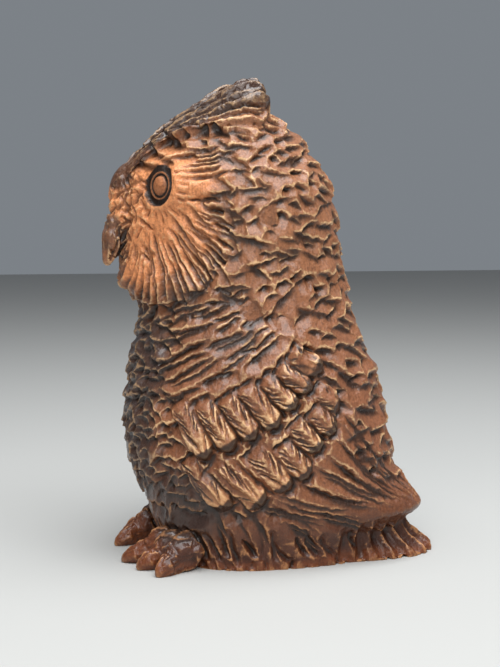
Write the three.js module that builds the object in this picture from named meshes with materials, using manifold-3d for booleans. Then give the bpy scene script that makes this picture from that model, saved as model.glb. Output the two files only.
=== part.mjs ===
// A folk-carved wooden owl, 300 mm tall, cut from one block and standing on its flat underside.
// Millimetres, +Z up. The owl looks towards -Y and its left wing is on +X.
// In the sizes below "ahead" is the distance towards the beak, so ahead = -Y, and the beak's tip and the
// tail's rim lie equally far from the origin.
import * as THREE from "three";
import { mergeVertices } from "three/addons/utils/BufferGeometryUtils.js";
import Module from "manifold-3d";

const wasm = await Module();
wasm.setup();

// Driving sizes of the block.
const COLUMNS = 48; // facets round the body, two to a feather
const FEATHER_ROWS = 18; // rows of feather tips from the underside to the crown
const BARE_FOOT = 16; // the lowest body feathers start at this height
const TIP_LIFT = 3.4; // a body feather's tip above the wood under it
const CUT_IN = 2.2; // that wood below the block's own skin
const TIP_STEP = 0.0045; // how far below its tip a feather's undercut ends, as a share of the meridian
const TIP_POINT = 0.0085; // how far the middle of a tip reaches below its corners
const FOOT_FLUTE = 1.8; // depth of the cuts round the bare foot of the block
const WING_LIFT = 3; // the folded wing above the flank
const WOOD = 0x8a4a26;

// The block as hoops from the underside to the crown. Each hoop is a tilted egg-shaped ring:
// [front ahead, front z, back ahead, back z, half width, ahead of its widest place, front power, back power]
const HOOPS = [
  [66, 0, -84, 0, 58, 10, 2.4, 2.2],
  [71, 13, -85, 16, 59, 8, 2.4, 2.3],
  [73, 19, -87.5, 20, 60.5, 5, 2.4, 2.5],
  [76.5, 28, -94, 28, 62.6, 0, 2.4, 2.8],
  [77.8, 31, -97, 31.5, 63.4, -1, 2.4, 2.9],
  [79.5, 35, -94.8, 35.5, 63.7, -1, 2.4, 2.8],
  [86, 49, -87.2, 49, 64.2, 1, 2.4, 2.4],
  [90, 58, -82.5, 58, 64.5, 2, 2.3, 2.3],
  [94, 80, -79, 77, 65, 3, 2.3, 2.3],
  [94, 99, -75, 97, 65, 4, 2.3, 2.2],
  [91, 118, -69, 118, 64, 5, 2.3, 2.2],
  [87, 138, -60.5, 139, 61.5, 6, 2.2, 2.1],
  [83, 156, -54, 158, 59, 9, 2.1, 2.1],
  [85, 163, -51.5, 166, 58.5, 11, 2.0, 2.1],
  [94.5, 173, -49.5, 176, 58.5, 13, 1.8, 2.1],
  [96, 184, -47, 188, 59.5, 14, 1.65, 2.1],
  [96.5, 203, -44, 204, 60.5, 15, 1.55, 2.1],
  [97.5, 220, -42, 220, 60.5, 16, 1.55, 2.1],
  [96, 236, -37.5, 237, 58.5, 17, 1.6, 2.1],
  [88, 249, -29.5, 251, 54.5, 19, 1.65, 2.1],
  [76, 258, -21, 262, 50, 21, 1.8, 2.1],
  [61, 266, -12, 270, 45, 22, 2.0, 2.1],
  [45, 273.5, -3, 276, 36, 21, 2.1, 2.1],
  [30, 280, 7, 280.5, 18, 19, 2.0, 2.0],
];
const CROWN = { ahead: 18, z: 282 };

// The wing's two edges from shoulder to tip, in the side view: [ahead, z].
const WING_FRONT_EDGE = [
  [52, 160], [70, 150], [76, 124], [75, 96], [70, 72], [58, 52],
  [38, 39], [12, 32], [-16, 27], [-46, 25], [-72, 27], [-93, 31],
];
const WING_REAR_EDGE = [
  [42, 163], [24, 164], [8, 156], [-6, 143], [-17, 128], [-26, 110],
  [-36, 92], [-46, 76], [-57, 62], [-68, 51], [-82, 42], [-94, 33],
];

// The carved feathers of the wing, as [root ahead, root z, tip ahead, tip z] of the first and last of each row.
const FLIGHT_FEATHERS = {
  count: 6, first: [4, 50, -50, 27], last: [-28, 106, -92, 33], width: 12, lift: 2.2, bow: 0,
};
const LOWER_COVERTS = {
  count: 5, first: [51, 67, 16, 40], last: [-10, 101, -29, 80], width: 16, lift: 3.4, bow: 5,
};
const COVERTS = {
  count: 7, first: [68, 104, 48, 69], last: [2, 135, -21, 117], width: 14.5, lift: 4.4, bow: 6,
};
const SHOULDER_FOLDS = {
  count: 5, first: [26, 133, 69, 117], last: [18, 159, 64, 152], width: 7.5, lift: 2.4, bow: 0,
};

// Each eye is turned outwards from straight ahead by an angle in degrees.
const EYE = { ahead: 75, z: 233.5, x: 32.8, radius: 12.4, turned: 34 };
// The facial disc: spokes of carved feathers round each eye, reaching to a rim.
const DISC_SPOKES = 15;
const DISC_LIFT = 2.4; // a ridge of the face above the block's own skin
const DISC_GROOVE = 1.6; // a groove of the face below it
// The rim as [ahead, z] in the side view, from behind the brow round the cheek to the chin and up to the beak.
const DISC_RIM = [
  [60, 258], [46, 252], [38, 240], [35, 222], [36, 200], [43, 182], [58, 170], [74, 165],
  [87, 172], [92, 190], [92, 206], [91, 220], [89, 234], [84, 246], [73, 254],
];

// A brow runs from the beak up each side of the forehead to a tuft above the nape. Its section is a sloping
// roof: [ahead, then x and z of its outer edge, its ridge, the valley beside it, its root, its foot and its
// lower rim].
const BROW = [
  [97, 7, 236, 4, 241, 0.5, 238, 2, 228, 5, 226, 9, 233],
  [88, 12, 248, 7, 253.5, 1, 247, 3, 236, 11, 240, 16, 246],
  [78, 17, 260, 11, 264.5, 2, 256, 6, 246, 17, 250, 22, 258],
  [64, 24, 270, 16, 276, 4, 264, 12, 252, 26, 259, 31, 268],
  [50, 30, 276, 20, 285, 7, 271, 16, 258, 34, 262, 38, 271],
  [36, 37, 282, 23, 293, 10, 276, 20, 262, 38, 265, 43, 273],
  [24, 41, 287, 26, 300, 14, 280, 24, 262, 41, 264, 46, 274],
  [15, 41, 289, 27, 301, 16, 281, 26, 264, 40, 262, 45, 270],
  [8, 37, 288, 28, 298, 18, 283, 27, 268, 36, 268, 40, 276],
];
const BROW_CORNERS = 6;

// Limbs are swept along [x, ahead, z, half breadth, half height].
const BRIDGE = [
  [0, 86, 246, 7, 6], [0, 91, 236, 11, 8.5], [0, 92, 226, 13, 9.5],
  [0, 92, 214, 13, 9.5], [0, 90, 203, 11, 8],
];
const BEAK = [
  [0, 91, 219, 5, 5], [0, 95.5, 213, 7.4, 7.4], [0, 97.5, 205, 7.8, 7.8], [0, 99, 198, 7, 7.2],
  [0, 101, 192, 5, 5.2], [0, 103, 188, 2.9, 2.8], [0, 103.8, 185.6, 1.4, 1.3],
];
// Each toe runs from the leg to its claw tip on the ground: [x, ahead] of the tip.
const TOES = [[60, 82], [41, 91.5], [20, 98.5]];
const ANKLE = { x: 37, ahead: 46 };
// Along a toe, [share, z, half breadth, half height]: its knuckle, the nick behind the claw and the claw.
const TOE = [
  [0, 11, 10, 12], [0.35, 12, 9.4, 12], [0.58, 10.8, 8.4, 11],
  [0.7, 7.6, 6.2, 7.8], [0.88, 4.4, 4.6, 5.2], [0.985, 1, 1.3, 1.5],
];

// The tail's skirt from its neck to the ground: [z, back, half width, share of the flutes' depth].
const TAIL = { front: 30, flutes: 10, fluteDepth: 2.4, square: 3.6 };
const TAIL_LEVELS = [
  [32, 80, 38, 0], [22, 87, 41.5, 0.4], [16, 90, 43.5, 0.8],
  [9, 97, 46.5, 1], [4, 103, 49.5, 1], [0, 104, 50, 1],
];

const sideOf = (p) => new THREE.Vector3(p[0], -p[1], p[2]);

// A value of every column of a table, read smoothly at a fractional row.
function readTable(table, row) {
  const i = Math.min(table.length - 2, Math.max(0, Math.floor(row)));
  const f = row - i;
  const at = (k) => table[Math.min(table.length - 1, Math.max(0, k))];
  const [a, b, c, d] = [at(i - 1), at(i), at(i + 1), at(i + 2)];
  return b.map((_, k) => {
    const cubic = 3 * (b[k] - c[k]) + d[k] - a[k];
    const square = 2 * a[k] - 5 * b[k] + 4 * c[k] - d[k];
    return b[k] + 0.5 * f * (c[k] - a[k] + f * (square + f * cubic));
  });
}

// The hoop rows spaced by the length of the side meridian, so that feather rows come out even.
const hoopSteps = HOOPS.map((h, i) => {
  if (i === 0) return 0;
  const g = HOOPS[i - 1];
  const middle = (v) => [v[4], (v[1] + v[3]) / 2, v[2]];
  const [a, b] = [middle(g), middle(h)];
  return Math.hypot(b[0] - a[0], b[1] - a[1], 0.45 * (b[2] - a[2]));
});
const meridian = [];
hoopSteps.reduce((sum, step) => {
  meridian.push(sum + step);
  return sum + step;
}, 0);
const MERIDIAN = meridian[meridian.length - 1];

// The hoop at a share t of the meridian, 0 at the underside and 1 at the crown.
function hoopAt(t) {
  const s = THREE.MathUtils.clamp(t, 0, 1) * MERIDIAN;
  let i = 0;
  while (i < meridian.length - 2 && meridian[i + 1] < s) i++;
  return readTable(HOOPS, i + (s - meridian[i]) / (meridian[i + 1] - meridian[i]));
}

// The point at share t and angle round the body, 0 at the front and 90 degrees on the owl's left.
function onBlock(t, angle) {
  const [fa, fz, ba, bz, half, wide, fp, bp] = hoopAt(t);
  const c = Math.cos(angle);
  const s = Math.sin(angle);
  const power = c >= 0 ? fp : bp;
  const reach = c >= 0 ? fa - wide : wide - ba;
  const r = Math.pow(Math.pow(Math.abs(c), power) + Math.pow(Math.abs(s), power), -1 / power);
  const ahead = wide + c * r * reach;
  const z = fz + ((bz - fz) * (fa - ahead)) / (fa - ba);
  return new THREE.Vector3(s * r * half, -ahead, z);
}

function outwards(t, angle) {
  const along = onBlock(t + 0.004, angle).sub(onBlock(t - 0.004, angle));
  const round = onBlock(t, angle + 0.02).sub(onBlock(t, angle - 0.02));
  return round.cross(along).normalize();
}

const lifted = (t, angle, lift) => onBlock(t, angle).addScaledVector(outwards(t, angle), lift);

// The share t and angle of the flank's point that the side view shows at [ahead, z].
function fromSide(ahead, z) {
  let low = 0;
  let high = 1;
  for (let i = 0; i < 30; i++) {
    const t = (low + high) / 2;
    const [fa, fz, ba, bz] = hoopAt(t);
    if (fz + ((bz - fz) * (fa - ahead)) / (fa - ba) < z) low = t;
    else high = t;
  }
  const t = (low + high) / 2;
  const [fa, , ba, , , wide, fp, bp] = hoopAt(t);
  const front = ahead >= wide;
  const u = Math.min(0.999, Math.abs(ahead - wide) / (front ? fa - wide : wide - ba));
  const power = front ? fp : bp;
  const v = Math.pow(1 - Math.pow(u, power), 1 / power);
  return { t, angle: Math.atan2(v, front ? u : -u) };
}

// Whether a point of the side view lies inside a closed outline.
function insideOutline(outline, ahead, z) {
  let inside = false;
  outline.forEach((a, i) => {
    const b = outline[(i + outline.length - 1) % outline.length];
    const crosses = a[1] > z !== b[1] > z;
    if (crosses && ahead < ((b[0] - a[0]) * (z - a[1])) / (b[1] - a[1]) + a[0]) inside = !inside;
  });
  return inside;
}

// A closed body of rings: place(share round the ring, ring number) gives each point, and
// middle(ring number) closes the first and the last ring.
function ringBody(sides, rings, place, middle) {
  const geometry = new THREE.CylinderGeometry(1, 1, 1, sides, rings);
  const { position, uv, normal } = geometry.attributes;
  for (let n = 0; n < position.count; n++) {
    const ring = Math.round((0.5 - position.getY(n)) * rings);
    const onAxis = Math.hypot(position.getX(n), position.getZ(n)) < 0.5;
    const isCap = Math.abs(normal.getY(n)) > 0.5;
    const turn = Math.atan2(position.getX(n), position.getZ(n)) / (2 * Math.PI);
    const side = isCap ? Math.round(turn * sides + sides) % sides : Math.round(uv.getX(n) * sides) % sides;
    const p = onAxis ? middle(ring) : place(side / sides, ring);
    position.setXYZ(n, p.x, p.y, p.z);
  }
  return geometry;
}

// The bare triangles of a geometry, with shared corners merged and the faces turned outwards.
function outwardTriangles(geometry) {
  const bare = geometry.clone();
  bare.deleteAttribute("normal");
  bare.deleteAttribute("uv");
  const merged = mergeVertices(bare, 1e-4);
  const { position } = merged.attributes;
  const index = merged.index.array;
  const corner = (k) => new THREE.Vector3().fromBufferAttribute(position, index[k]);
  let volume = 0;
  for (let k = 0; k < index.length; k += 3) volume += corner(k).dot(corner(k + 1).cross(corner(k + 2)));
  if (volume < 0)
    for (let k = 0; k < index.length; k += 3) [index[k], index[k + 1]] = [index[k + 1], index[k]];
  return { points: position.array, index };
}

function solid(geometry) {
  const { points, index } = outwardTriangles(geometry);
  const mesh = new wasm.Mesh({
    numProp: 3,
    vertProperties: new Float32Array(points),
    triVerts: new Uint32Array(index),
  });
  return new wasm.Manifold(mesh);
}

// A repeatable unevenness between -1 and 1, as the cuts of a gouge have.
const uneven = (a, b) => Math.sin(a * 12.9 + b * 78.2) * Math.cos(a * 4.1 - b * 9.7);

// Body: feathers in staggered rows, each with a raised pointed tip and a short undercut below it.
function body() {
  const rings = 2 * FEATHER_ROWS;
  const wingOutline = [...WING_FRONT_EDGE, ...[...WING_REAR_EDGE].reverse()];
  const place = (share, down) => {
    const ring = rings - down;
    const column = Math.round(share * COLUMNS);
    const angle = share * 2 * Math.PI;
    const fluted = -FOOT_FLUTE * ((column + down) % 2);
    if (ring === 0) return lifted(0.001, angle, fluted).setZ(0);
    const feather = Math.ceil(ring / 2);
    const isTip = ring % 2 === 0;
    const stagger = (column + feather) % 2 === 0 ? 1 : -1;
    const wander = uneven(column, feather);
    const row = (feather - 0.35) / FEATHER_ROWS + (isTip ? 0 : -TIP_STEP);
    const t = row + (stagger + 0.6 * wander) * TIP_POINT;
    const { y, z } = onBlock(t, angle);
    const onWing = insideOutline(wingOutline, -y, z);
    const onFace = insideOutline(DISC_RIM, -y, z);
    if (onWing) return lifted(t, angle, WING_LIFT);
    if (onFace) return lifted(t, angle, -CUT_IN);
    const cut = THREE.MathUtils.smoothstep(z, BARE_FOOT, BARE_FOOT + 22);
    const feathered = (isTip ? TIP_LIFT * (1 + 0.4 * wander) : 0) - CUT_IN;
    const p = lifted(t, angle, THREE.MathUtils.lerp(fluted, feathered, cut));
    p.z = Math.max(p.z, 0.5);
    return p;
  };
  const middle = (down) => (down === 0 ? sideOf([0, CROWN.ahead, CROWN.z]) : sideOf([0, 0, 0]));
  return ringBody(COLUMNS, rings, place, middle);
}

// A carved feather lying along the flank, from its root to its tip: a ridged blade in four corners,
// with a keel that sinks into the block. Its tip is round and stands proud.
const BLADE_SHARES = [0, 0.5, 0.88, 1];
const BLADE_BREADTHS = [0.7, 1, 0.8, 0.2];
const BLADE_RISES = [0.3, 0.8, 1, 0.85];
const BLADE_KEEL = 9;
function blade([rootAhead, rootZ], [tipAhead, tipZ], width, lift, bow) {
  const [run, fall] = [tipAhead - rootAhead, tipZ - rootZ];
  const length = Math.hypot(run, fall);
  const spot = (across, ring) => {
    const s = BLADE_SHARES[ring];
    const side = across * BLADE_BREADTHS[ring] * width * 0.5 + bow * 4 * s * (1 - s);
    return fromSide(rootAhead + run * s - (fall / length) * side, rootZ + fall * s + (run / length) * side);
  };
  const raise = (across, ring, height) => {
    const { t, angle } = spot(across, ring);
    return lifted(t, angle, height);
  };
  const place = (share, ring) => {
    const top = WING_LIFT + lift * BLADE_RISES[ring];
    const corners = [
      () => raise(-1, ring, top - 0.35 * lift - 0.8),
      () => raise(0, ring, top),
      () => raise(1, ring, top - 0.35 * lift - 0.8),
      () => raise(0, ring, -BLADE_KEEL),
    ];
    return corners[Math.round(share * 4)]();
  };
  return ringBody(4, BLADE_SHARES.length - 1, place, (ring) => raise(0, ring, 0));
}

const mix = (a, b, f) => a.map((v, k) => v + (b[k] - v) * f);

function wingFeathers() {
  const sets = [FLIGHT_FEATHERS, LOWER_COVERTS, COVERTS, SHOULDER_FOLDS];
  return sets.flatMap(({ count, first, last, width, lift, bow }) =>
    Array.from({ length: count }, (_, k) => {
      const f = k / (count - 1);
      const [rootAhead, rootZ, tipAhead, tipZ] = mix(first, last, f);
      const sag = bow * 4 * f * (1 - f);
      return blade([rootAhead, rootZ - sag], [tipAhead, tipZ - sag], width, lift, 0);
    }),
  );
}

// Facial disc: carved feathers that fan out from the eye to the rim, each a ridge between two grooves.
function facialDisc() {
  const spot = (share, reach) => {
    const [ahead, z] = readTable(DISC_RIM, share * (DISC_RIM.length - 1));
    return fromSide(EYE.ahead + (ahead - EYE.ahead) * reach, EYE.z + (z - EYE.z) * reach);
  };
  const reaches = [0.3, 0.65, 1, 0.85];
  const place = (share, ring) => {
    const { t, angle } = spot(share, reaches[ring]);
    const isGroove = Math.round(share * DISC_SPOKES * 2) % 2 === 0;
    if (ring === reaches.length - 1) return lifted(t, angle, -6);
    return lifted(t, angle, isGroove ? -DISC_GROOVE : DISC_LIFT * (0.4 + 0.3 * ring));
  };
  const middle = (ring) => {
    const { t, angle } = fromSide(EYE.ahead, EYE.z);
    return lifted(t, angle, ring === 0 ? DISC_LIFT * 0.5 : -9);
  };
  return ringBody(DISC_SPOKES * 2, reaches.length - 1, place, middle);
}

// Eye: a turned ring with a domed pupil in its middle.
function eye() {
  const r = EYE.radius;
  const section = [[0, -7], [r, -7], [r, 2.2], [r - 4.5, 0.8], [r - 7, 0.8], [r - 9.5, 3], [0, 4]];
  const ring = new THREE.LatheGeometry(section.map(([x, y]) => new THREE.Vector2(x, y)), 14);
  const turned = THREE.MathUtils.degToRad(EYE.turned);
  const gaze = new THREE.Vector3(Math.sin(turned), -Math.cos(turned), 0.06).normalize();
  ring.applyQuaternion(new THREE.Quaternion().setFromUnitVectors(new THREE.Vector3(0, 1, 0), gaze));
  ring.translate(EYE.x, -EYE.ahead, EYE.z);
  return ring;
}

// A limb along a table of places and half sizes, round in section.
function limb(table, sides, rings) {
  const at = (ring) => readTable(table, (ring / rings) * (table.length - 1));
  const frameAt = (ring) => {
    const [before, after] = [at(Math.max(0, ring - 0.5)), at(Math.min(rings, ring + 0.5))];
    const forward = sideOf(after).sub(sideOf(before)).normalize();
    const side = new THREE.Vector3(1, 0, 0).addScaledVector(forward, -forward.x).normalize();
    return { side, up: new THREE.Vector3().crossVectors(side, forward) };
  };
  const place = (share, ring) => {
    const row = at(ring);
    const { side, up } = frameAt(ring);
    const angle = share * 2 * Math.PI;
    return sideOf(row)
      .addScaledVector(side, row[3] * Math.cos(angle))
      .addScaledVector(up, row[4] * Math.sin(angle));
  };
  return ringBody(sides, rings, place, (ring) => sideOf(at(ring)));
}

function toe([tipX, tipAhead]) {
  const table = TOE.map(([share, z, breadth, height]) => [
    ANKLE.x + (tipX - ANKLE.x) * share,
    ANKLE.ahead + (tipAhead - ANKLE.ahead) * share,
    z,
    breadth,
    height,
  ]);
  return limb(table, 6, TOE.length - 1);
}

// Brow: a loft of its six-cornered sections.
function brow() {
  const corner = (ring, k) => sideOf([BROW[ring][1 + 2 * k], BROW[ring][0], BROW[ring][2 + 2 * k]]);
  const middle = (ring) => {
    const sum = new THREE.Vector3();
    for (let k = 0; k < BROW_CORNERS; k++) sum.add(corner(ring, k));
    return sum.divideScalar(BROW_CORNERS);
  };
  const place = (share, ring) => corner(ring, Math.round(share * BROW_CORNERS) % BROW_CORNERS);
  return ringBody(BROW_CORNERS, BROW.length - 1, place, middle);
}

// Tail: a short skirt that spreads to the ground under the wing tips, fluted all round its back.
function tail() {
  const { front, flutes, fluteDepth, square } = TAIL;
  const place = (share, ring) => {
    const [z, reach, half, fluted] = TAIL_LEVELS[ring];
    const angle = share * 2 * Math.PI;
    const [c, s] = [Math.cos(angle), Math.sin(angle)];
    const r = Math.pow(Math.pow(Math.abs(c), square) + Math.pow(Math.abs(s), square), -1 / square);
    const flute = fluteDepth * fluted * (Math.cos(flutes * 2 * angle) - 1) * Math.sqrt(Math.max(0, c));
    return new THREE.Vector3((r * half + flute) * s, front + (r * (reach - front) + flute) * c, z);
  };
  const middle = (ring) => new THREE.Vector3(0, front, TAIL_LEVELS[ring][0]);
  return ringBody(flutes * 4, TAIL_LEVELS.length - 1, place, middle);
}

// The piece's twin on the owl's right.
const twin = (geometry) => geometry.clone().scale(-1, 1, 1);

// The triangles that hang together with the topmost point: the outer skin, without pockets sealed inside it.
function outerSkin(points, triangles) {
  const touching = new Map();
  for (let k = 0; k < triangles.length; k++) {
    if (!touching.has(triangles[k])) touching.set(triangles[k], []);
    touching.get(triangles[k]).push(Math.floor(k / 3));
  }
  let top = 0;
  for (let v = 0; v < points.length / 3; v++) if (points[3 * v + 2] > points[3 * top + 2]) top = v;
  const reached = new Set(touching.get(top));
  for (const face of reached)
    for (let k = 0; k < 3; k++) touching.get(triangles[3 * face + k]).forEach((next) => reached.add(next));
  return [...reached].flatMap((face) => [...triangles.slice(3 * face, 3 * face + 3)]);
}

function owl() {
  const leftSide = [
    ...wingFeathers(),
    facialDisc(),
    eye(),
    brow(),
    ...TOES.map(toe),
  ];
  let made = solid(body());
  for (const piece of [tail(), limb(BRIDGE, 8, 4), limb(BEAK, 8, 6)]) made = made.add(solid(piece));
  for (const piece of leftSide) made = made.add(solid(piece)).add(solid(twin(piece)));
  const ground = new THREE.BoxGeometry(400, 400, 60);
  ground.translate(0, 0, -30);
  made = made.subtract(solid(ground));
  const { vertProperties, triVerts } = made.getMesh();
  const geometry = new THREE.BufferGeometry();
  geometry.setAttribute("position", new THREE.Float32BufferAttribute(vertProperties, 3));
  geometry.setIndex(outerSkin(vertProperties, triVerts));
  geometry.computeVertexNormals();
  const stained = new THREE.MeshStandardMaterial({ color: WOOD, roughness: 0.42, metalness: 0 });
  const mesh = new THREE.Mesh(geometry, stained);
  mesh.name = "owl";
  return mesh;
}

const group = new THREE.Group();
group.add(owl());

export default group;
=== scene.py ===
import math

import bmesh
import bpy
import numpy as np
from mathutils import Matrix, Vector


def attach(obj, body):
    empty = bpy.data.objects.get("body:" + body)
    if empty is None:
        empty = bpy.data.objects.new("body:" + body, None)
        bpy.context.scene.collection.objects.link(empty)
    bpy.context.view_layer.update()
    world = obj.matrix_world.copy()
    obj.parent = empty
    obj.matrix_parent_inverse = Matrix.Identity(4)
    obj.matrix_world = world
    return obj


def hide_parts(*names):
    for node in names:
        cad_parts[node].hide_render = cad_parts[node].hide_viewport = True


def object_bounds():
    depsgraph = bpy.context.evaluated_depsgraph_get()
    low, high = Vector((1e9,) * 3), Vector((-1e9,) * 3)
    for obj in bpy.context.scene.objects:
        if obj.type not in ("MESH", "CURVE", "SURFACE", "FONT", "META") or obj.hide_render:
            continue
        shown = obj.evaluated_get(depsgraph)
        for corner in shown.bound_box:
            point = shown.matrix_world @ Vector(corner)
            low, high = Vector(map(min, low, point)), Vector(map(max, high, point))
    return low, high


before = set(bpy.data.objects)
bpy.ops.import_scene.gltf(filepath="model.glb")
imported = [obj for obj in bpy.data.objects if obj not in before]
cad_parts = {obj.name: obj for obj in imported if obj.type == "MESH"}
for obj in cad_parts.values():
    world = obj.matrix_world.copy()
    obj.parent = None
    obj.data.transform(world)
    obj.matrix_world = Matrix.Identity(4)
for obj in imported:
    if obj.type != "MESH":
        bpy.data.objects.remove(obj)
cad_low, cad_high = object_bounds()


# The block
# One block of close-grained wood, sawn and roughed to a plump standing bird with a flat underside. All
# sizes are millimetres of the carving. "Ahead" is the distance towards the beak, and the left wing is on +X.
CARVED_HEIGHT = 300.5
MM = (cad_high.z - cad_low.z) / CARVED_HEIGHT

# Each hoop is a tilted egg-shaped ring round the bird: front ahead, front z, back ahead, back z, half width,
# ahead of its widest place, and the powers that square its front and its back.
HOOPS = [
    [66, 0, -84, 0, 58, 10, 2.4, 2.2],
    [71, 13, -85, 16, 59, 8, 2.4, 2.3],
    [73, 19, -87.5, 20, 60.5, 5, 2.4, 2.5],
    [76.5, 28, -94, 28, 62.6, 0, 2.4, 2.8],
    [77.8, 31, -97, 31.5, 63.4, -1, 2.4, 2.9],
    [79.5, 35, -94.8, 35.5, 63.7, -1, 2.4, 2.8],
    [86, 49, -87.2, 49, 64.2, 1, 2.4, 2.4],
    [90, 58, -82.5, 58, 64.5, 2, 2.3, 2.3],
    [94, 80, -79, 77, 65, 3, 2.3, 2.3],
    [94, 99, -75, 97, 65, 4, 2.3, 2.2],
    [91, 118, -69, 118, 64, 5, 2.3, 2.2],
    [87, 138, -60.5, 139, 61.5, 6, 2.2, 2.1],
    [83, 156, -54, 158, 59, 9, 2.1, 2.1],
    [85, 163, -51.5, 166, 58.5, 11, 2.0, 2.1],
    [94.5, 173, -49.5, 176, 58.5, 13, 1.8, 2.1],
    [96, 184, -47, 188, 59.5, 14, 1.65, 2.1],
    [96.5, 203, -44, 204, 60.5, 15, 1.55, 2.1],
    [97.5, 220, -42, 220, 60.5, 16, 1.55, 2.1],
    [96, 236, -37.5, 237, 58.5, 17, 1.6, 2.1],
    [88, 249, -29.5, 251, 54.5, 19, 1.65, 2.1],
    [76, 258, -21, 262, 50, 21, 1.8, 2.1],
    [61, 266, -12, 270, 45, 22, 2.0, 2.1],
    [45, 273.5, -3, 276, 36, 21, 2.1, 2.1],
    [30, 280, 7, 280.5, 18, 19, 2.0, 2.0],
]
CROWN = [0, 18, 282]
BACK_COUNTS = 0.45  # how much the line of the back counts in the spacing of rows
BLOCK_SIDES, BLOCK_RINGS = 128, 150
LIMB_SIDES, LIMB_RINGS = 24, 40
BROW_SIDES, BROW_RINGS = 40, 80
TAIL_SIDES, TAIL_RINGS = 96, 40
VOXEL = 0.62

block = bmesh.new()


def read_table(table, rows):
    """The columns of a table, read smoothly at fractional rows."""
    table = np.asarray(table, float)
    last = len(table) - 1
    rows = np.clip(rows, 0, last)
    i = np.minimum(rows.astype(int), last - 1)
    f = (rows - i)[:, None]
    a, b, c, d = (table[np.clip(i + k, 0, last)] for k in (-1, 0, 1, 2))
    return b + 0.5 * f * (c - a + f * (2 * a - 5 * b + 4 * c - d + f * (3 * (b - c) + d - a)))


def unit(vectors):
    """Vectors scaled to a length of 1."""
    return vectors / np.linalg.norm(vectors, axis=-1, keepdims=True)


def run_along(path):
    """How far along a path each of its points lies."""
    return np.concatenate([[0], np.cumsum(np.linalg.norm(np.diff(path, axis=0), axis=1))])


# Rows are spaced by the length of the side meridian, so that equal shares are equal lengths of skin.
hoops = np.array(HOOPS, float)
side_line = np.stack([hoops[:, 4], (hoops[:, 1] + hoops[:, 3]) / 2, BACK_COUNTS * hoops[:, 2]], axis=1)
meridian = run_along(side_line)


def hoop_at(share):
    """The hoops at shares of the meridian, 0 at the underside and 1 at the crown."""
    rows = np.interp(np.clip(share, 0, 1) * meridian[-1], meridian, np.arange(len(meridian)))
    return read_table(HOOPS, rows).T


def on_block(share, angle):
    """Points of the block at shares of the meridian and angles round it, 0 at the front, left positive."""
    front, front_z, back, back_z, half, wide, front_power, back_power = hoop_at(share)
    c, s = np.cos(angle), np.sin(angle)
    power = np.where(c >= 0, front_power, back_power)
    reach = np.where(c >= 0, front - wide, wide - back)
    r = (np.abs(c) ** power + np.abs(s) ** power) ** (-1 / power)
    ahead = wide + c * r * reach
    z = front_z + (back_z - front_z) * (front - ahead) / (front - back)
    return np.stack([s * r * half, -ahead, z], axis=1)


def add_ball(sides, rings, place):
    """Adds a closed ball to the block, with each vertex moved to place(turn, share), both from 0 to 1."""
    ball = bmesh.ops.create_uvsphere(block, u_segments=sides, v_segments=rings, radius=1)["verts"]
    co = np.array([v.co for v in ball])
    turn = np.arctan2(co[:, 0], -co[:, 1]) / (2 * math.pi)
    share = 0.5 + np.arcsin(np.clip(co[:, 2], -1, 1)) / math.pi
    for vert, spot in zip(ball, place(turn, share)):
        vert.co = spot


def body_form(turn, share):
    """The block itself, closed by one point under it and one at the crown."""
    rings = np.round(share * BLOCK_RINGS)
    spots = on_block((rings - 1) / (BLOCK_RINGS - 2), turn * 2 * math.pi)
    spots[rings == 0] = 0
    spots[rings == BLOCK_RINGS] = [CROWN[0], -CROWN[1], CROWN[2]]
    return spots


add_ball(BLOCK_SIDES, BLOCK_RINGS, body_form)

LIMB_BLUNT = 10  # the power that rounds a limb's ends: the higher, the blunter
LOOK_AHEAD = 0.04  # share of a limb over which its direction is read


def mirrored(path, side):
    """A path of the left side, or its mirror on the right for side -1."""
    return np.asarray(path, float) * [side, 1, 1]


def limb_form(table, side, power=2.0):
    """A limb along a table of x, ahead, z, half breadth and half height, mirrored for side -1.

    power 2 gives it a round section and a power near 1 a ridged one.
    """
    rows = len(table) - 1

    def form(turn, share):
        x, ahead, z, breadth, height = read_table(table, share * rows).T
        before = read_table(table, (share - LOOK_AHEAD) * rows)
        after = read_table(table, (share + LOOK_AHEAD) * rows)
        forward = unit((after - before)[:, :3] * [1, -1, 1])
        across = unit(np.array([1, 0, 0]) - forward * forward[:, :1])
        up = np.cross(across, forward)
        girth = np.sqrt(np.clip(1 - (2 * share - 1) ** LIMB_BLUNT, 0, 1))
        c, s = np.cos(turn * 2 * math.pi), np.sin(turn * 2 * math.pi)
        girth *= (np.abs(c) ** power + np.abs(s) ** power) ** (-1 / power)
        spots = np.stack([x, -ahead, z], axis=1)
        spots += across * (girth * breadth * c)[:, None]
        spots += up * (girth * height * s)[:, None]
        spots[:, 2] = np.maximum(spots[:, 2], 0)
        return mirrored(spots, side)

    return form


# A brow runs from the beak up each side of the forehead to a tuft above the nape. Its section is a sloping
# roof: ahead, then x and z of its outer edge, ridge, the valley beside it, its root, foot and lower rim.
BROW = [
    [97, 7, 236, 4, 241, 0.5, 238, 2, 228, 5, 226, 9, 233],
    [88, 12, 248, 7, 253.5, 1, 247, 3, 236, 11, 240, 16, 246],
    [78, 17, 260, 11, 264.5, 2, 256, 6, 246, 17, 250, 22, 258],
    [64, 24, 270, 16, 276, 4, 264, 12, 252, 26, 259, 31, 268],
    [50, 30, 276, 20, 285, 7, 271, 16, 258, 34, 262, 38, 271],
    [36, 37, 282, 23, 293, 10, 276, 20, 262, 38, 265, 43, 273],
    [24, 41, 287, 26, 300, 14, 280, 24, 262, 41, 264, 46, 274],
    [15, 41, 289, 27, 301, 16, 281, 26, 264, 40, 262, 45, 270],
    [8, 37, 288, 28, 298, 18, 283, 27, 268, 36, 268, 40, 276],
]
BROW_CORNERS = 6
BROW_BLUNT = 30
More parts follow.
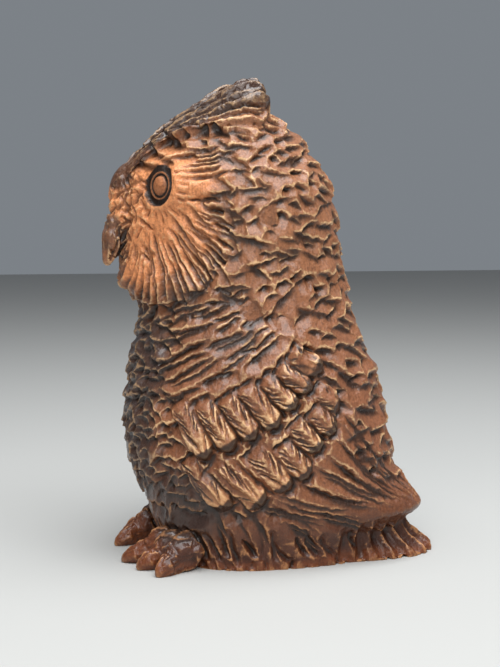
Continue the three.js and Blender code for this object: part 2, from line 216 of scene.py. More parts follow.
# x, ahead, z, half breadth and half depth of the bridge between the eyes and of the hooked beak below it.
BRIDGE = [
    [0, 86, 246, 7, 6],
    [0, 91, 236, 11, 8.5],
    [0, 92, 226, 13, 9.5],
    [0, 92, 214, 13, 9.5],
    [0, 90, 203, 11, 8],
]
BEAK = [
    [0, 91, 219, 5, 5],
    [0, 95.5, 213, 7.4, 7.4],
    [0, 97.5, 205, 7.8, 7.8],
    [0, 99, 198, 7, 7.2],
    [0, 101, 192, 5, 5.2],
    [0, 103, 188, 2.9, 2.8],
    [0, 103.8, 185.6, 1.4, 1.3],
]
TOE_TIPS = [[60, 82], [41, 91.5], [20, 98.5]]
ANKLE = [37, 46]
# Share of the toe, height, half breadth and half height: its knuckle, the nick behind the claw, the claw.
TOE = [
    [0, 11, 10, 12],
    [0.3, 12, 9.5, 12],
    [0.5, 11.5, 9, 11.5],
    [0.62, 9.5, 7.5, 9.5],
    [0.68, 7.6, 6.2, 7.8],
    [0.78, 6.4, 5.8, 7],
    [0.9, 3.6, 3.9, 4.4],
    [0.985, 1, 1.3, 1.5],
]
TOE_RIDGE = 1.35


def roof_form(side):
    """The brow as a loft of its six-cornered sections."""

    def form(turn, share):
        rows = read_table(BROW, share * (len(BROW) - 1))
        ahead, corners = rows[:, 0], rows[:, 1:].reshape(-1, BROW_CORNERS, 2)
        place = (turn % 1) * BROW_CORNERS
        k = place.astype(int) % BROW_CORNERS
        f = (place - np.floor(place))[:, None]
        each = np.arange(len(k))
        section = corners[each, k] * (1 - f) + corners[each, (k + 1) % BROW_CORNERS] * f
        middle = corners.mean(axis=1)
        girth = np.sqrt(np.clip(1 - (2 * share - 1) ** BROW_BLUNT, 0, 1))[:, None]
        x, z = (middle + (section - middle) * girth).T
        return np.stack([x * side, -ahead, z], axis=1)

    return form


bridge = limb_form(BRIDGE, 1)
beak = limb_form(BEAK, 1)
add_ball(LIMB_SIDES, LIMB_RINGS, bridge)
add_ball(LIMB_SIDES, LIMB_RINGS, beak)
for side in (1, -1):
    add_ball(BROW_SIDES, BROW_RINGS, roof_form(side))
    for tip_x, tip_ahead in TOE_TIPS:
        toe = [
            [ANKLE[0] + (tip_x - ANKLE[0]) * s, ANKLE[1] + (tip_ahead - ANKLE[1]) * s, z, breadth, height]
            for s, z, breadth, height in TOE
        ]
        add_ball(LIMB_SIDES, LIMB_RINGS, limb_form(toe, side, TOE_RIDGE))

# The tail is a short skirt that spreads to the ground under the wing tips.
TAIL_FRONT = 30
TAIL_SQUARE = 3.6
TAIL_LEVELS = [
    [0, 103.5, 50],
    [2, 104.2, 50],
    [4.5, 103, 49],
    [8, 98.6, 47],
    [12, 94, 45],
    [17, 89.5, 43],
    [22, 87, 41.5],
    [32, 80, 38],
]


def tail_form(turn, share):
    """The tail's skirt, closed below and above by one point each."""
    level = np.clip(share * 1.1 - 0.05, 0, 1)
    z, reach, half = read_table(TAIL_LEVELS, level * (len(TAIL_LEVELS) - 1)).T
    c, s = np.cos(turn * 2 * math.pi), np.sin(turn * 2 * math.pi)
    square = (np.abs(c) ** TAIL_SQUARE + np.abs(s) ** TAIL_SQUARE) ** (-1 / TAIL_SQUARE)
    square *= (share > 0.001) & (share < 0.999)
    return np.stack([square * half * s, TAIL_FRONT - square * (reach - TAIL_FRONT) * c, z], axis=1)


add_ball(TAIL_SIDES, TAIL_RINGS, tail_form)

carving_mesh = bpy.data.meshes.new("owl_carving")
block.to_mesh(carving_mesh)
block.free()
carving = bpy.data.objects.new("owl_carving", carving_mesh)
bpy.context.collection.objects.link(carving)


def settle(obj):
    """Replaces the object's mesh by the result of its modifiers."""
    evaluated = obj.evaluated_get(bpy.context.evaluated_depsgraph_get())
    old = obj.data
    obj.data = bpy.data.meshes.new_from_object(evaluated)
    obj.modifiers.clear()
    bpy.data.meshes.remove(old)
    obj.data.name = obj.name


one_skin = carving.modifiers.new("one skin", "REMESH")
one_skin.mode = "VOXEL"
one_skin.voxel_size = VOXEL
settle(carving)


# The carver's tools
# Gouges and a V-tool take wood away from the skin, and feathers are what is left standing between the cuts.
# Every stroke works along a path on the skin.
def read_vectors(items, name, count):
    """Vectors of a mesh as rows of an array."""
    values = np.empty(count * 3, np.float32)
    items.foreach_get(name, values)
    return values.reshape(-1, 3).astype(float)


def smooth_over(values, links, passes):
    """Values of the vertices, each averaged with its neighbours a number of times."""
    a, b = links.T
    count = np.bincount(links.ravel(), minlength=len(values))
    flat = values.reshape(len(values), -1)
    for _ in range(passes):
        total = np.stack(
            [
                np.bincount(a, flat[b, k], len(values)) + np.bincount(b, flat[a, k], len(values))
                for k in range(flat.shape[1])
            ],
            axis=1,
        )
        flat = 0.5 * flat + 0.5 * total / count[:, None]
    return flat.reshape(values.shape)


def read_links(mesh):
    """The two vertices of each edge."""
    pairs = np.empty(len(mesh.edges) * 2, np.int32)
    mesh.edges.foreach_get("vertices", pairs)
    return pairs.reshape(-1, 2)


mesh = carving.data
FEATHER_LIFT = 1.2
raw_spots = read_vectors(mesh.vertices, "co", len(mesh.vertices))
raw_links = read_links(mesh)
raw_normals = smooth_over(read_vectors(mesh.vertex_normals, "vector", len(mesh.vertices)), raw_links, 3)
by_height = np.argsort(raw_spots[:, 2])
spots = raw_spots[by_height]
normals = unit(raw_normals[by_height])
heights = spots[:, 2]
left_standing = np.full(len(spots), FEATHER_LIFT)
taken_away = np.zeros(len(spots))
# Darkness painted into the cuts, for the stain that gathers there and for the shade in them.
stain_and_shade_caught = np.zeros(len(spots))
rubbed = np.zeros(len(spots))
bare = np.zeros(len(spots))
# Cuts this deep are painted fully dark, for the stain and the shade in them.
FULL_DEPTH = 4.0  # cuts this deep keep the stain black
vary = np.random.default_rng(7).uniform  # draws everything that is uneven in the strokes
WAVES = 7


def ripple(points, size, seed):
    """Smooth unevenness between about -1 and 1, with bumps of the given size."""
    waves = np.random.default_rng(seed)
    total = np.zeros(len(points))
    for _ in range(WAVES):
        total += np.sin(points @ (waves.normal(size=3) * 2.6 / size) + waves.uniform(0, 6.28))
    return total / 3.2


# The hand's unevenness: every stroke sees the skin a little displaced.
wobble = np.stack([ripple(spots, 9, seed) for seed in (1, 2, 3)], axis=1) * 0.55
splinters = np.stack([ripple(spots, 3, seed) for seed in (4, 5, 6)], axis=1) * 0.28
hand_spots = spots + wobble + splinters


def around(path, reach):
    """Skin points near a path: their numbers, how far along and across it they lie, and its length in mm."""
    path = np.asarray(path, float)
    low, high = path.min(0) - reach, path.max(0) + reach
    first, last = np.searchsorted(heights, (low[2], high[2]))
    near = hand_spots[first:last]
    inside = np.all((near > low) & (near < high), axis=1)
    ids = np.arange(first, last)[inside]
    near = near[inside]
    steps = np.diff(path, axis=0)
    lengths = np.linalg.norm(steps, axis=1)
    starts = np.concatenate([[0], np.cumsum(lengths)])
    best = np.full(len(ids), 1e9)
    along = np.zeros(len(ids))
    across = np.zeros(len(ids))
    for i, (step, length) in enumerate(zip(steps, lengths)):
        way = step / length
        gap = near - path[i]
        run = gap @ way
        clipped = np.clip(run, 0 if i else -reach, length if i < len(steps) - 1 else length + reach)
        rest = gap - clipped[:, None] * way
        distance = np.linalg.norm(rest, axis=1)
        sideways = np.cross(normals[ids], way)
        sideways /= np.linalg.norm(sideways, axis=1, keepdims=True) + 1e-9
        closer = distance < best
        best[closer] = distance[closer]
        along[closer] = (starts[i] + clipped)[closer]
        across[closer] = np.sum(rest * sideways, axis=1)[closer]
    return ids, along, across, starts[-1]


def ease(x):
    x = np.clip(x, 0, 1)
    return x * x * (3 - 2 * x)


def drawn(size):
    """A size, or where two are given one between them."""
    return vary(*size) if isinstance(size, tuple) else size


def taper(along, length, run_in, run_out):
    """How full a cut is along its length, running in and out over shares of it."""
    start = np.clip(along / (run_in * length), 0, 1)
    end = np.clip((length - along) / (run_out * length), 0, 1)
    return np.sqrt(start * end)


def cut_away(ids, hollow, depth, stain_and_shade):
    """Takes wood away from skin points, and paints the cut dark for the stain and the shade in it, more in a
    deep one.
    """
    taken_away[ids] = np.maximum(taken_away[ids], depth * hollow)
    stain_and_shade = np.minimum(stain_and_shade * min(depth / FULL_DEPTH, 1), 1)
    stain_and_shade_caught[ids] = np.maximum(stain_and_shade_caught[ids], stain_and_shade)


def gouge(path, width, depth, run_in=0.3, run_out=0.3, sharp=0.0, dark=1.0):
    """A hollow cut. sharp 0 is a round gouge and 1 a V-tool. dark is the share of painted stain and shade it
    keeps.
    """
    width, depth = drawn(width), drawn(depth)
    ids, along, across, length = around(path, width)
    b = np.abs(across) / (width / 2)
    section = np.clip((1 - sharp) * (1 - b**2) + sharp * (1 - b), 0, 1)
    hollow = section * taper(along, length, run_in, run_out)
    cut_away(ids, hollow, depth, hollow**1.4 * dark)


WALL = 1.6  # the steep wall of a scoop or a ledge is this wide


def scoop(spot, way, width, length, depth, bow, sharp):
    """One stroke under a small feather: a steep start that runs out on the face of the next feather."""
    ids, along, across, _ = around([spot, spot + way * length], width * 0.6)
    b = np.clip(np.abs(across) / (width / 2), 0, 1)
    section = (1 - sharp) * (1 - b**4) + sharp * (1 - b)
    wall = np.clip((along - bow * length * b**2) / WALL + 1, 0, 1)
    floor = 1 - np.clip(along / length, 0, 1) ** 1.2
    # The start of the cut, under the feather's edge, is painted dark for the stain and the shade there.
    stain_and_shade_under_edge = np.clip(1.5 - 1.5 * along / (0.38 * length), 0, 1)
    cut_away(ids, section * wall * floor, depth, section * wall * stain_and_shade_under_edge)


def ledge(path, width, depth, up, dark=1.0):
    """A long cut with a steep upper wall that runs out downwards. up is the sign of its upper side."""
    width, depth = drawn(width), drawn(depth)
    ids, along, across, length = around(path, width)
    b = across * up / (width / 2)
    wall = np.clip((1 - b) * width / 2 / WALL, 0, 1)
    floor = np.clip((1 + b) / 2, 0, 1)
    hollow = wall * floor * taper(along, length, 0.25, 0.25)
    # Its deep part is painted dark, for the stain and the shade in it.
    cut_away(ids, hollow, depth, np.clip(2.2 * hollow - 0.6, 0, 1) * dark)


HALVINGS = 26


def highest_under(count, is_under):
    """The highest shares of the meridian at which is_under holds, found by halving."""
    low, high = np.zeros(count), np.ones(count)
    for _ in range(HALVINGS):
        share = (low + high) / 2
        under = is_under(share)
        low, high = np.where(under, share, low), np.where(under, high, share)
    return share


def from_side(ahead, z):
    """Share and angle of the flank's points that the side view shows at ahead and z."""

    def is_under(share):
        front, front_z, back, back_z = hoop_at(share)[:4]
        return front_z + (back_z - front_z) * (front - ahead) / (front - back) < z

    share = highest_under(len(ahead), is_under)
    front, _, back, _, _, wide, front_power, back_power = hoop_at(share)
    is_front = ahead >= wide
    u = np.where(is_front, (ahead - wide) / (front - wide), (wide - ahead) / (wide - back))
    u = np.clip(u, 0, 0.999)
    power = np.where(is_front, front_power, back_power)
    v = (1 - u**power) ** (1 / power)
    return share, np.arctan2(v, np.where(is_front, u, -u))


def flank_path(points, side):
    """A path on the flank through side-view points, for the left side 1 or the right side -1."""
    points = np.asarray(points, float)
    return mirrored(on_block(*from_side(points[:, 0], points[:, 1])), side)


def quarter_turn(way):
    """A direction of the side view or the ground, turned by a quarter."""
    return np.array([-way[1], way[0]])


def bent(start, end, bow, count=5):
    """Side-view points from start to end, bowed sideways by that many mm."""
    start, end = np.asarray(start, float), np.asarray(end, float)
    way = end - start
    share = np.linspace(0, 1, count)[:, None]
    return start + way * share + unit(quarter_turn(way)) * bow * 4 * share * (1 - share)


def inside_outline(outline, ahead, z):
    """Whether side-view points lie inside a closed outline."""
    inside = np.zeros(len(ahead), bool)
    for (a0, z0), (a1, z1) in zip(outline, outline[-1:] + outline[:-1]):
        if z0 == z1:
            continue
        crosses = (z0 > z) != (z1 > z)
        inside ^= crosses & (ahead < (a1 - a0) * (z - z0) / (z1 - z0) + a0)
    return inside


def outline_depth(outline, ahead, z):
    """How deep side-view points lie inside a closed outline, in mm, and 0 outside it."""
    depth = np.full(len(ahead), 1e9)
    for (a0, z0), (a1, z1) in zip(outline, outline[-1:] + outline[:-1]):
        a_way, z_way = a1 - a0, z1 - z0
        run = np.clip(((ahead - a0) * a_way + (z - z0) * z_way) / (a_way**2 + z_way**2), 0, 1)
        depth = np.minimum(depth, np.hypot(ahead - a0 - run * a_way, z - z0 - run * z_way))
    return depth * inside_outline(outline, ahead, z)


def at_height(angle, z):
    """Shares of the meridian at which the block reaches heights z at given angles."""
    return highest_under(len(z), lambda share: on_block(share, angle)[:, 2] < z)


def round_path(start, end, bow=0.0, count=5):
    """A path on the block between two pairs of degrees round it and height, bowed by some degrees."""
    f = np.linspace(0, 1, count)
    degrees = start[0] + (end[0] - start[0]) * f + bow * 4 * f * (1 - f)
    z = start[1] + (end[1] - start[1]) * f
    angle = np.radians(degrees)
    return on_block(at_height(angle, z), angle)


def form_path(form, start, end, count=5):
    """A path on one of the block's forms between two pairs of turn and share."""
    return form(*np.linspace(start, end, count).T)


def evenly(count, low, high, stray_low, stray_high):
    """Values spread evenly from low to high, each strayed by a share of the spacing."""
    for k in range(count):
        yield low + (high - low) * (k + vary(stray_low, stray_high)) / count


side_ahead = -hand_spots[:, 1]
side_z = hand_spots[:, 2]


# Small feathers
# The back, nape, head and breast are covered in short overlapping feathers, each two or three strokes of a
# gouge: a scooped face, a crisp lower edge and a nick below it, painted dark for stain and shade.
WING_OUTLINE = [
    [52, 160], [70, 150], [76, 124], [75, 96], [70, 72], [58, 52], [38, 39], [12, 32], [-16, 27],
    [-46, 25], [-72, 27], [-93, 31], [-82, 42], [-68, 51], [-57, 62], [-46, 76], [-36, 92], [-26, 110],
    [-17, 128], [-6, 143], [8, 156], [24, 164], [42, 163],
]
FACE_OUTLINE = [
    [60, 262], [46, 256], [40, 246], [30, 238], [42, 226], [36, 214], [34, 200], [44, 184], [50, 172],
    [60, 163], [76, 162], [120, 164], [120, 262],
]
FEATHER_OVERLAP = 4  # small feathers run this far on to the wing and the face
ROW_POINTS = 60
HEAD_START = 166
BACK_START = 50
BREAST_START = 34
HEAD_FEATHER = {"width": 18, "length": 11, "across": 12, "down": 7.4, "depth": 5.0, "bow": 0.1}
BACK_FEATHER = {"width": 20, "length": 13, "across": 13.5, "down": 8.6, "depth": 5.8, "bow": 0.3}
BREAST_FEATHER = {"width": 13, "length": 9, "across": 9, "down": 6.4, "depth": 5.0, "bow": 0.25}


def feather_rows(sizes, share_from, share_to, degrees_from, degrees_to, keep):
    """Rows of small feathers over part of the block, from the top row down."""
    rows = int((share_to - share_from) * meridian[-1] / sizes["down"])
    for row in range(rows):
        share = share_to - (share_to - share_from) * row / rows
        angles = np.radians(np.linspace(degrees_from, degrees_to, ROW_POINTS))
        run = run_along(on_block(np.full(ROW_POINTS, share), angles))
        count = max(1, int(run[-1] / sizes["across"]))
        for k in range(count):
            place = (k + 0.5 * (row % 2) + vary(-0.3, 0.3)) * run[-1] / count
            angle = np.array([np.interp(place, run, angles)])
            at = np.array([share + vary(-0.45, 0.45) * sizes["down"] / meridian[-1]])
            spot = on_block(at, angle)[0]
            if not keep(spot):
                continue
            below = on_block(at - 0.01, angle + vary(-0.03, 0.03))[0]
            size = vary(0.75, 1.35)
            width = sizes["width"] * size * vary(0.7, 1.5)
            depth = sizes["depth"] * vary(0.65, 1.35)
            bow = sizes["bow"] + vary(-0.45, 0.45)
            scoop(spot, unit(below - spot), width, sizes["length"] * size, depth, bow, vary(0.1, 0.7))


def off_wing_and_face(spot):
    depths = [outline_depth(outline, -spot[1:2], spot[2:3])[0] for outline in (WING_OUTLINE, FACE_OUTLINE)]
    return max(depths) < FEATHER_OVERLAP


def off_brow(spot):
    """Whether a point of the block lies clear of the brows, which have long grooves of their own."""
    rows = np.array(BROW[::-1], float)
    root_x, rim_z = (np.interp(-spot[1], rows[:, 0], rows[:, k]) for k in (7, 12))
    return -spot[1] < rows[0, 0] or abs(spot[0]) < root_x - 2 or spot[2] < rim_z - 3


def on_back(spot):
    return BACK_START < spot[2] < HEAD_START and off_wing_and_face(spot)


def on_head(spot):
    return spot[2] >= HEAD_START and off_wing_and_face(spot) and off_brow(spot)


def on_forehead(spot):
    return spot[2] > BROW[0][2] and off_brow(spot)


def on_breast(spot):
    return BREAST_START < spot[2] < HEAD_START - 4 and off_wing_and_face(spot)


feather_rows(HEAD_FEATHER, 0.4, 0.97, 54, 306, on_head)
feather_rows(HEAD_FEATHER, 0.8, 0.97, -54, 54, on_forehead)
feather_rows(BACK_FEATHER, 0.0, 0.62, 90, 270, on_back)
feather_rows(BREAST_FEATHER, 0.0, 0.62, -90, 90, on_breast)


# The wings
# Each folded wing stands proud of the flank. Rows of long feathers lie on it like shingles, each with a
# raised round tip, a midrib and herringbone cuts, and above them soft folds run back over the shoulder.
WING_LIFT = 3.0
WING_EDGE = 15
COVERTS = [
    [[68.6, 106.2], [49.3, 70.7]],
    [[55.8, 107.4], [35.6, 75.5]],
    [[42.5, 109.4], [22.6, 81.8]],
    [[31.6, 115.7], [9.5, 88.2]],
    [[19.3, 120.8], [-1.5, 100.1]],
    [[11, 126.1], [-11.9, 110.7]],
    [[1.5, 135.5], [-19.5, 121.3]],
]
LOWER_COVERTS = [
    [[64, 72], [38, 38]],
    [[50.6, 66.9], [16.4, 42]],
    [[26.1, 78], [1.3, 50.9]],
    [[6.9, 81.2], [-10, 57.3]],
    [[-0.1, 93.3], [-16.8, 73.6]],
    [[-11.1, 99.9], [-26.7, 84.2]],
    [[-14, 113], [-31, 97]],
]
# The flight feathers are long grooves and ridges that run together into the tip of the folded wing.
FLIGHT_GROOVES = [
    [[14, 45], [-6, 36], [-26, 31], [-46, 29]],
    [[0, 52], [-20, 43], [-38, 36], [-58, 31]],
    [[-12, 60], [-30, 51], [-45, 42], [-66, 33]],
    [[-20, 67], [-38, 54], [-54, 43], [-74, 34]],
    [[-26, 76], [-42, 62], [-58, 48], [-80, 34]],
    [[-30, 86], [-48, 68], [-66, 50], [-88, 34]],
    [[-28, 99], [-42, 82], [-65, 57], [-92, 33]],
]
# Below the lower coverts long cuts sweep down and back into the base.
FLANK_GROOVES = [
    [[50, 64], [37, 51], [24, 42]],
    [[36, 43], [16, 35], [-4, 29], [-26, 23]],
    [[54, 54], [44, 42], [32, 29], [24, 14]],
    [[32, 39], [21, 28], [13, 13]],
    [[14, 38], [-4, 30], [-16, 20]],
    [[62, 60], [54, 44], [44, 30], [38, 14]],
    [[-14, 30], [-34, 24], [-52, 18]],
    [[4, 26], [-10, 18], [-20, 8]],
]
FINE_LINES = 6  # thin cuts beside each long groove
FEATHER_WALL = 0.9  # the steep sides of a long feather are this wide
# The dark end of a long feather's tip is painted, for stain and the shade on its end face.
TIP_DARK = 0.14  # share of a long feather's round tip at which its dark end starts
BARBS = 5
PIT_WIDTH = 13
FEATHER_GAP = 4.6
COVERT = {"width": 16, "lift": 5.2, "cut": 3.4}
LOWER_COVERT = {"width": 17, "lift": 4.2, "cut": 3.2}


def beside(path, share, aside, side):
    """A point beside a path, aside mm towards its upper side in the side view."""
    run = run_along(path)
    spot = np.array([np.interp(share * run[-1], run, path[:, k]) for k in range(3)])
    return spot + unit(np.cross([side, 0.0, 0.0], path[-1] - path[0])) * aside


def long_feather(root, tip, side, width, lift):
    """A long feather of the wing: a ridge that widens to a blunt raised tip, with herringbone cuts."""
    path = flank_path(bent(root, tip, 0), side)
    ids, along, across, length = around(path, width * 0.6)
    a, b = along / length, across / (width / 2)
    half = width / 2 * (0.7 + 0.3 * ease(a / 0.5))
    past = np.maximum(along - (length - half), 0) / half
    tip_share = np.clip(past / np.sqrt(np.clip(1 - (across / half) ** 2, 0.01, 1)), 0, 1)
    wall = np.clip((half - np.abs(across)) / FEATHER_WALL, 0, 1) * np.sqrt(1 - tip_share**2)
    rise = lift * (0.3 + 0.7 * np.clip(a, 0, 1) ** 1.4) * (1 - 0.85 * np.abs(b) ** 1.6)
    height = (WING_LIFT + rise) * wall * ease((a + 0.1) / 0.3)
    on_top = height > left_standing[ids]
    left_standing[ids] = np.maximum(left_standing[ids], height)
    # The round end of the tip is painted dark, for the stain and the shade on its end face.
    end_face = ease((tip_share - TIP_DARK) / 0.15)
    stain_and_shade_caught[ids] = np.where(on_top, end_face, stain_and_shade_caught[ids])
    bright = ease((a - 0.5) / 0.25) * (1 - end_face) * (1 - b**2)
    rubbed[ids] = np.where(on_top, bright, rubbed[ids])
    for k in range(BARBS):
        for hand in (-1, 1):
            begin = 0.6 * k / BARBS + vary(-0.04, 0.04)
            finish = begin + vary(0.3, 0.45)
            out = 0.45 * width * hand * vary(0.8, 1.05)
            cut_path = [beside(path, begin, out, side), beside(path, finish, out * 0.15, side)]
            gouge(cut_path, (2.2, 3.4), (1.8, 2.8), run_in=0.2, sharp=1, dark=1.6)


def pit(root, tip, side):
    """The pit that lets a long feather's tip stand free, painted dark for the stain and the shade in it."""
    way = unit(np.array(tip, float) - root)
    aside = quarter_turn(way) * PIT_WIDTH / 2
    below = np.array(tip) + way * 1.8
    points = [below - aside - way * 3, below, below + aside - way * 3]
    gouge(flank_path(points, side), 6.5, 3.6, run_in=0.25, run_out=0.25, sharp=0.3)


def under_folds(root, tip, side):
    """The undercut from which a long feather comes out below the folds or feathers above it, painted dark
    for stain and shade.
    """
    path = flank_path([root, tip], side)
    for shift in (-4, 3):
        spot = beside(path, 0.02, shift, side)
        scoop(spot, unit(path[1] - path[0]), vary(9, 13), vary(6, 9), 4.2, 0.2, 0.3)


def between_feathers(feathers, side, depth):
    """V-cuts between the neighbours of a row of feathers."""
    for (root, tip), (next_root, next_tip) in zip(feathers, feathers[1:]):
        start = (np.array(root) + next_root) / 2
        end = (np.array(tip) + next_tip) / 2
        path = flank_path(bent(start, start + (end - start) * 0.98, vary(-1, 1)), side)
        gouge(path, FEATHER_GAP, depth * vary(0.8, 1.2), run_out=0.05, sharp=0.7)


for side in (1, -1):
    own_side = spots[:, 0] * side > 0
    patch = WING_LIFT * ease(outline_depth(WING_OUTLINE, side_ahead, side_z) / WING_EDGE)
    left_standing = np.where(own_side, np.maximum(left_standing, patch), left_standing)
    for groove in FLIGHT_GROOVES + FLANK_GROOVES:
        for shift in (0, 3.8):
            path = flank_path(np.array(groove) + [shift * 0.7, shift + vary(-0.8, 0.8)], side)
            ledge(path, (6, 9), (3.2, 5.2), side)
        for _ in range(FINE_LINES):
            first = vary(0, 0.5) * (len(groove) - 1)
            rows = np.linspace(first, min(first + vary(0.8, 1.6), len(groove) - 1), 5)
            points = read_table(groove, rows) + [0, vary(-3, 7)]
            gouge(flank_path(points, side), (2, 3.2), (1, 2), sharp=1)
    for feathers, sizes in ((LOWER_COVERTS, LOWER_COVERT), (COVERTS, COVERT)):
        for root, tip in feathers:
            long_feather(root, tip, side, sizes["width"], sizes["lift"])
    for root, tip in LOWER_COVERTS + COVERTS:
        pit(root, tip, side)
        under_folds(root, tip, side)
    between_feathers(LOWER_COVERTS, side, LOWER_COVERT["cut"])
    between_feathers(COVERTS, side, COVERT["cut"])

# Wavy folds run back and up over the shoulder, in broken rows from the coverts to the neck.
SHOULDER_TOP = [[79, 154], [66, 163], [50, 168], [40, 169], [34, 169], [30, 169], [26, 168]]
SHOULDER_FOOT = [[77, 100], [60, 107], [46, 112], [35, 117], [23, 123], [12, 131], [2, 140]]
SHOULDER_FOLDS = 10
FOLD_PIECES = 3
FOLD_POINTS = 7
shoulder_top, shoulder_foot = np.array(SHOULDER_TOP, float), np.array(SHOULDER_FOOT, float)
for side in (1, -1):
    for k in range(SHOULDER_FOLDS):
        for piece in range(FOLD_PIECES):
            climb = (k + vary(0.1, 1.1)) / SHOULDER_FOLDS
            fold = shoulder_foot + (shoulder_top - shoulder_foot) * climb
            first = piece * 1.9 + vary(-0.7, 0.7)
            rows = np.clip(np.linspace(first, first + vary(1.8, 3.2), FOLD_POINTS), 0, len(fold) - 1)
            lean = np.linspace(-1, 1, FOLD_POINTS) * vary(-1, 3)
            lean += np.sin(np.linspace(0, 6, FOLD_POINTS) + vary(0, 6)) * vary(0.4, 1.4)
            points = read_table(fold, rows) + np.stack([np.zeros(FOLD_POINTS), lean], axis=1)
            ledge(flank_path(points, side), (6.5, 10), (4.2, 6.4), side)

# Steep strokes mark the wing's front edge against the breast.
WING_FRONT = [[76, 150], [80, 132], [82, 112], [80, 92], [74, 74], [66, 58]]
FRONT_STROKES = 22
for side in (1, -1):
    for row in evenly(FRONT_STROKES, 0, len(WING_FRONT) - 1, -0.3, 0.3):
        start = read_table(WING_FRONT, np.array([row]))[0] + [vary(-9, 3), 0]
        end = start + [vary(-2, 8), -vary(8, 14)]
        width = vary(4, 7)
        gouge(flank_path(bent(start, end, vary(-1, 1)), side), width, width * 0.45, sharp=0.8)


# The face
# Round each eye the face is a fan of long gouge cuts that run out to the cheek and the chin, and it ends in
# a ruff that stands proud of the neck.
FACE_LIFT = 3.0
EYE = [32.8, 75, 233.5]
EYE_RADIUS = 14
FAN_CENTRE = np.array([82, 228])
FAN = {"count": 29, "from": -112, "to": 0, "width": 6, "depth": 5.2}
FINE_STREAKS = 60
CHIN_EDGE = 170  # the ruff's edge is crisp below this height and soft above it


def rim_distance(angle):
    """How far the face reaches from the fan's centre in a direction of the side view."""
    steps = np.linspace(4, 90, 87)
    ahead = FAN_CENTRE[0] - steps * math.cos(angle)
    z = FAN_CENTRE[1] + steps * math.sin(angle)
    return steps[inside_outline(FACE_OUTLINE, ahead, z)][-1]


def fan_stroke(angle, first, last, aside=0.0):
    """Side-view points of a straight stroke between two distances from the fan's centre."""
    way = np.array([-math.cos(angle), math.sin(angle)])
    stroke = bent(FAN_CENTRE + way * first, FAN_CENTRE + way * last, 0)
    return stroke - quarter_turn(way) * aside


for side in (1, -1):
    own_side = spots[:, 0] * side > 0
    inner = outline_depth(FACE_OUTLINE, side_ahead, side_z)
    low_edge = 1 - ease((side_z - CHIN_EDGE) / 20)
    bare[own_side] = ease(inner / 14)[own_side]
    patch = FACE_LIFT * (low_edge * np.clip(inner / 1.2, 0, 1) + (1 - low_edge) * ease(inner / 12) * 0.4)
    left_standing = np.where(own_side, np.maximum(left_standing, patch), left_standing)
    for degrees in evenly(FAN["count"], FAN["from"], FAN["to"], -0.25, 0.25):
        angle = math.radians(degrees)
        reach = min(rim_distance(angle) * vary(0.94, 1.08), 78)
        start_at = vary(22, 32)
        middle_at = start_at + (reach - start_at) * vary(0.4, 0.6)
        for first, last, size in ((start_at, middle_at + 5, 0.7), (middle_at - 3, reach, 1.1)):
            if last - first < 6:
                continue
            path = flank_path(fan_stroke(angle, first, last, vary(-1, 1)), side)
            width = FAN["width"] * size * vary(0.75, 1.25)
            gouge(path, width, FAN["depth"] * size * vary(0.6, 1.2), run_out=0.08, sharp=0.95)

# Thin streaks lie between the cuts of the fan.
for side in (1, -1):
    for _ in range(FINE_STREAKS):
        angle = math.radians(vary(FAN["from"], FAN["to"]))
        first = vary(16, min(rim_distance(angle), 74) - 12)
        path = flank_path(fan_stroke(angle, first, first + 14), side)
        gouge(path, (1.6, 2.6), (0.6, 1.2), sharp=1)

# Longer grooves run down the cheek, facets end it behind, and sweeps lead back from the eye.
EYE_SWEEPS = 7
FACET_DEPTH = 5
CHEEK_GROOVES = [
    [[67, 221], [51, 198], [41, 182]],
    [[71, 218], [61, 201], [47, 177]],
    [[60, 189], [52, 178], [44, 167]],
    [[57, 226], [47, 216], [37, 210]],
    [[62, 222], [50, 208], [37, 196]],
]
CHEEK_FACETS = [
    [[42, 250], [26, 238], 14],
    [[37, 240], [24, 228], 15],
    [[50, 238], [36, 226], 13],
    [[48, 227], [37, 216], 13],
    [[42, 221], [36, 204], 12],
    [[51, 198], [38, 186], 11],
    [[40, 204], [34, 188], 12],
    [[46, 186], [38, 171], 10],
]
for side in (1, -1):
    for groove in CHEEK_GROOVES:
        ledge(flank_path(groove, side), (5.5, 7.5), (3.4, 4.6), side)
    for start, end, width in CHEEK_FACETS:
        ledge(flank_path([start, end], side), width, FACET_DEPTH, side, dark=0.6)
    for k in range(EYE_SWEEPS):
        start = np.array([61, 252 - 2.6 * k]) + vary(-1, 1, 2)
        sweep = bent(start, start + [-vary(20, 30), vary(4, 8)], vary(0, 2))
        gouge(flank_path(sweep, side), (4, 5.4), (3.4, 4.8), sharp=0.9)

# The bridge between the eyes has rough slanting cuts, and the beak has fine grooves along it.
BRIDGE_CUTS = 34
BEAK_CUTS = 12
for _ in range(BRIDGE_CUTS):
    start = np.array([vary(-0.5, 0), vary(0.22, 0.95)])
    path = form_path(bridge, start, start + [vary(-0.1, 0.1), -vary(0.08, 0.2)], 2)
    gouge(path, (3, 5.5), (1.2, 2.4), run_out=0.2, sharp=0.7)
for turn in evenly(BEAK_CUTS, 0, -0.5, 0.2, 0.8):
    first = vary(0.12, 0.45)
    path = form_path(beak, (turn, first), (turn, first + vary(0.25, 0.4)))
    gouge(path, (1.8, 3), (0.5, 1.1), sharp=0.7)

